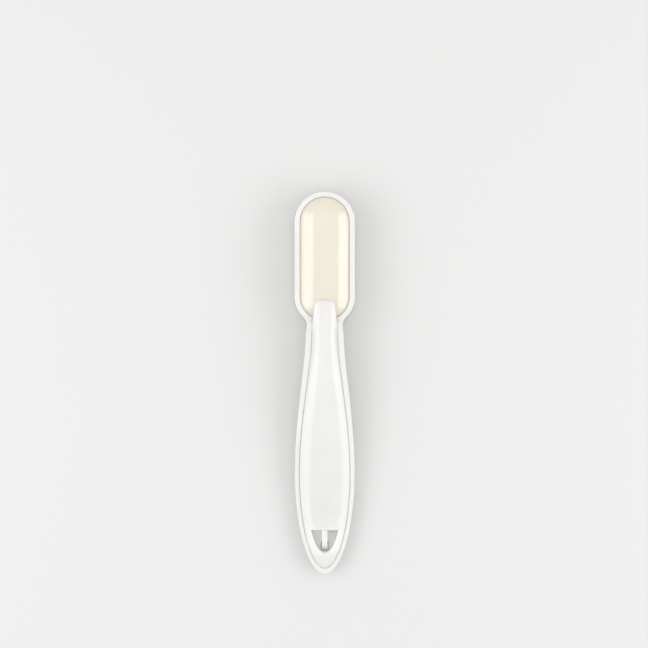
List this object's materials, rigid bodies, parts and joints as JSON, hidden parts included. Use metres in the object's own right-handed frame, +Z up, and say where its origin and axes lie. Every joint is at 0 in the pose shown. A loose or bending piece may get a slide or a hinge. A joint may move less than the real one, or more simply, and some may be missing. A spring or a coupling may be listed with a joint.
{
  "type": "sushi rice mould press",
  "caption": "Hand press for finger-shaped rice: an open mould on a hollow handle, with a thumb lever whose domed plate pushes the pressed rice out.",
  "frame": {"origin": "middle of the footprint, on the surface that the tool lies on with its open mould down", "axes": "+Z up out of the surface, +Y along the tool from the handle to the mould, +X to the right seen from above"},
  "size_m": [0.0328, 0.2, 0.0235],
  "materials": {
    "clear_white": "glossy unfilled polypropylene, white and slightly see-through",
    "milky_white": "satin white polypropylene, slightly see-through at its edges",
    "inner_white": "plain moulded white polypropylene"
  },
  "bodies": {
    "handle_body": {"mould_ring": "clear_white", "handle_tray": "milky_white", "hinge_clips": "inner_white", "spring_keeper": "inner_white", "tail_stop": "inner_white"},
    "lever_body": {"push_plate": "clear_white", "press_lever": "milky_white", "hinge_pins": "inner_white"},
    "tongue_body": {"spring_tongue": "milky_white"}
  },
  "joints": [
    {"name": "lever_press", "type": "hinge", "parent": "handle_body", "child": "lever_body", "pos_m": [0, -0.0714, 0.0052], "axis": [-1, 0, 0], "range_deg": [0, 3.2], "stiffness_Nm_per_rad": 1, "springref_deg": -3.44},
    {"name": "tongue_flex", "type": "hinge", "parent": "lever_body", "child": "tongue_body", "pos_m": [0, -0.07715, 0.00981], "axis": [1, 0, 0], "range_deg": [0, 6]}
  ],
  "couplings": [
    {"joint": "tongue_flex", "follows": "lever_press", "ratio": 1.7}
  ]
}
